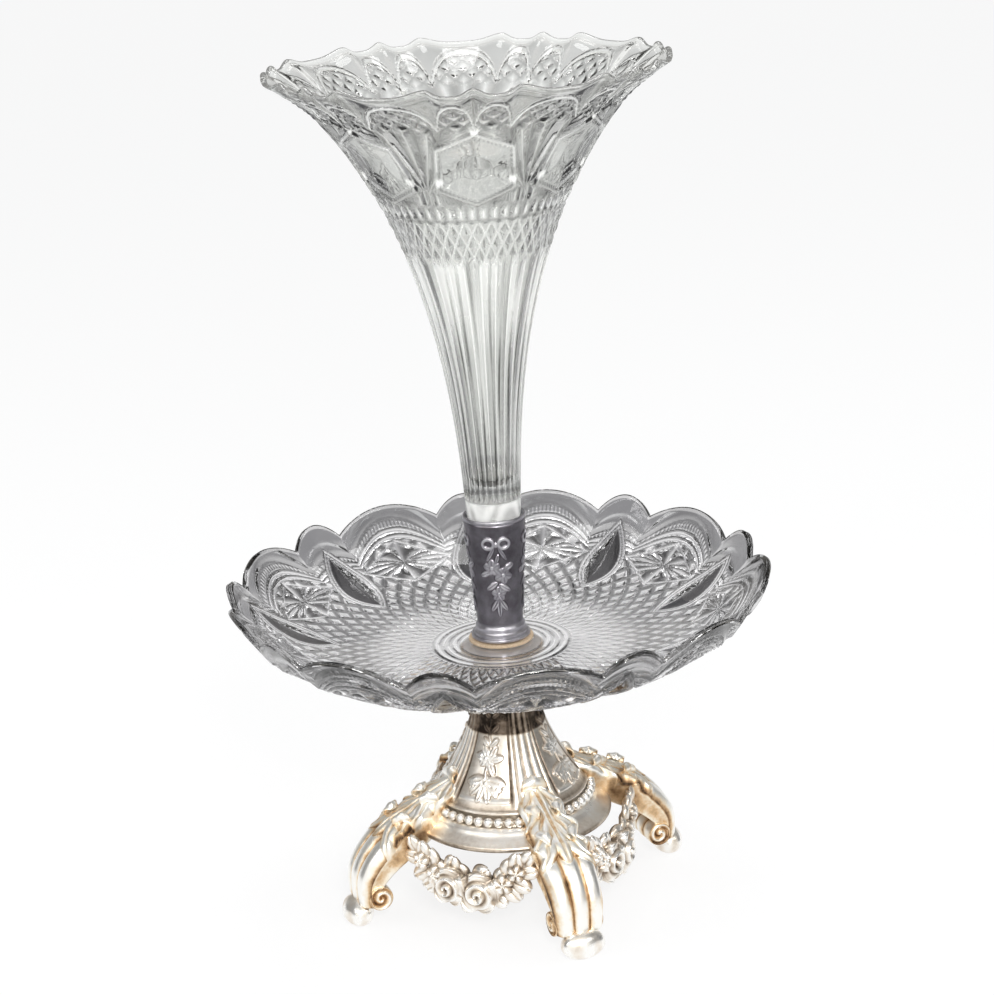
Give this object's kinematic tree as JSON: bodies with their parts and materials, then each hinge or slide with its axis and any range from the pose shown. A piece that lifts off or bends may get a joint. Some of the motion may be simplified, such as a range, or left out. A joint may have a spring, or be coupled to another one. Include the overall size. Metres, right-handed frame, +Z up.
{
  "type": "table centrepiece",
  "caption": "Table centrepiece: a scalloped pressed-glass dish and a trumpet vase in a screwed socket, on a cast silvered foot with acanthus legs and rose swags.",
  "frame": {"origin": "on the axis of the stem, at the height of the table under the foot pads", "axes": "+Z up along the stem, with the legs between the X and Y axes"},
  "size_m": [0.24, 0.2379, 0.375],
  "materials": {
    "silver_plate": "worn silver plate with tan patina",
    "dark_pewter": "dark polished pewter",
    "steel": "turned",
    "brass": "turned",
    "cork": "cork sheet",
    "felt": "felt",
    "dish_glass": "pressed clear glass",
    "vase_glass": "pressed clear glass"
  },
  "bodies": {
    "foot": {"bell": "silver_plate", "leg_1": "silver_plate", "leg_2": "silver_plate", "leg_3": "silver_plate", "leg_4": "silver_plate", "foot_pad_1": "silver_plate", "foot_pad_2": "silver_plate", "foot_pad_3": "silver_plate", "foot_pad_4": "silver_plate", "bead_strip_1": "silver_plate", "bead_strip_2": "silver_plate", "bead_strip_3": "silver_plate", "bead_strip_4": "silver_plate", "swag_1": "silver_plate", "swag_2": "silver_plate", "swag_3": "silver_plate", "swag_4": "silver_plate", "bowl_seat": "silver_plate", "tie_rod": "steel", "rod_nut": "brass", "rod_washer": "steel", "seat_washer": "cork"},
    "dish": {"dish": "dish_glass"},
    "socket_washer": {"socket_washer": "cork"},
    "socket": {"socket": "dark_pewter", "thread_bush": "brass", "vase_pad": "felt"},
    "vase": {"vase": "vase_glass"}
  },
  "joints": [
    {"name": "dish_lift", "type": "slide", "parent": "foot", "child": "dish", "axis": [0, 0, 1], "range_m": [0, 0.06]},
    {"name": "socket_rise", "type": "slide", "parent": "dish", "child": "socket_washer", "axis": [0, 0, 1], "range_m": [0, 0.0091]},
    {"name": "socket_turn", "type": "hinge", "parent": "socket_washer", "child": "socket", "pos_m": [0, 0, 0.1227], "axis": [0, 0, 1], "range_deg": [0, 2160]},
    {"name": "vase_lift", "type": "slide", "parent": "socket", "child": "vase", "axis": [0, 0, 1], "range_m": [0, 0.07]}
  ],
  "couplings": [
    {"joint": "socket_rise", "follows": "socket_turn", "m_per_rad": 0.00023873}
  ]
}
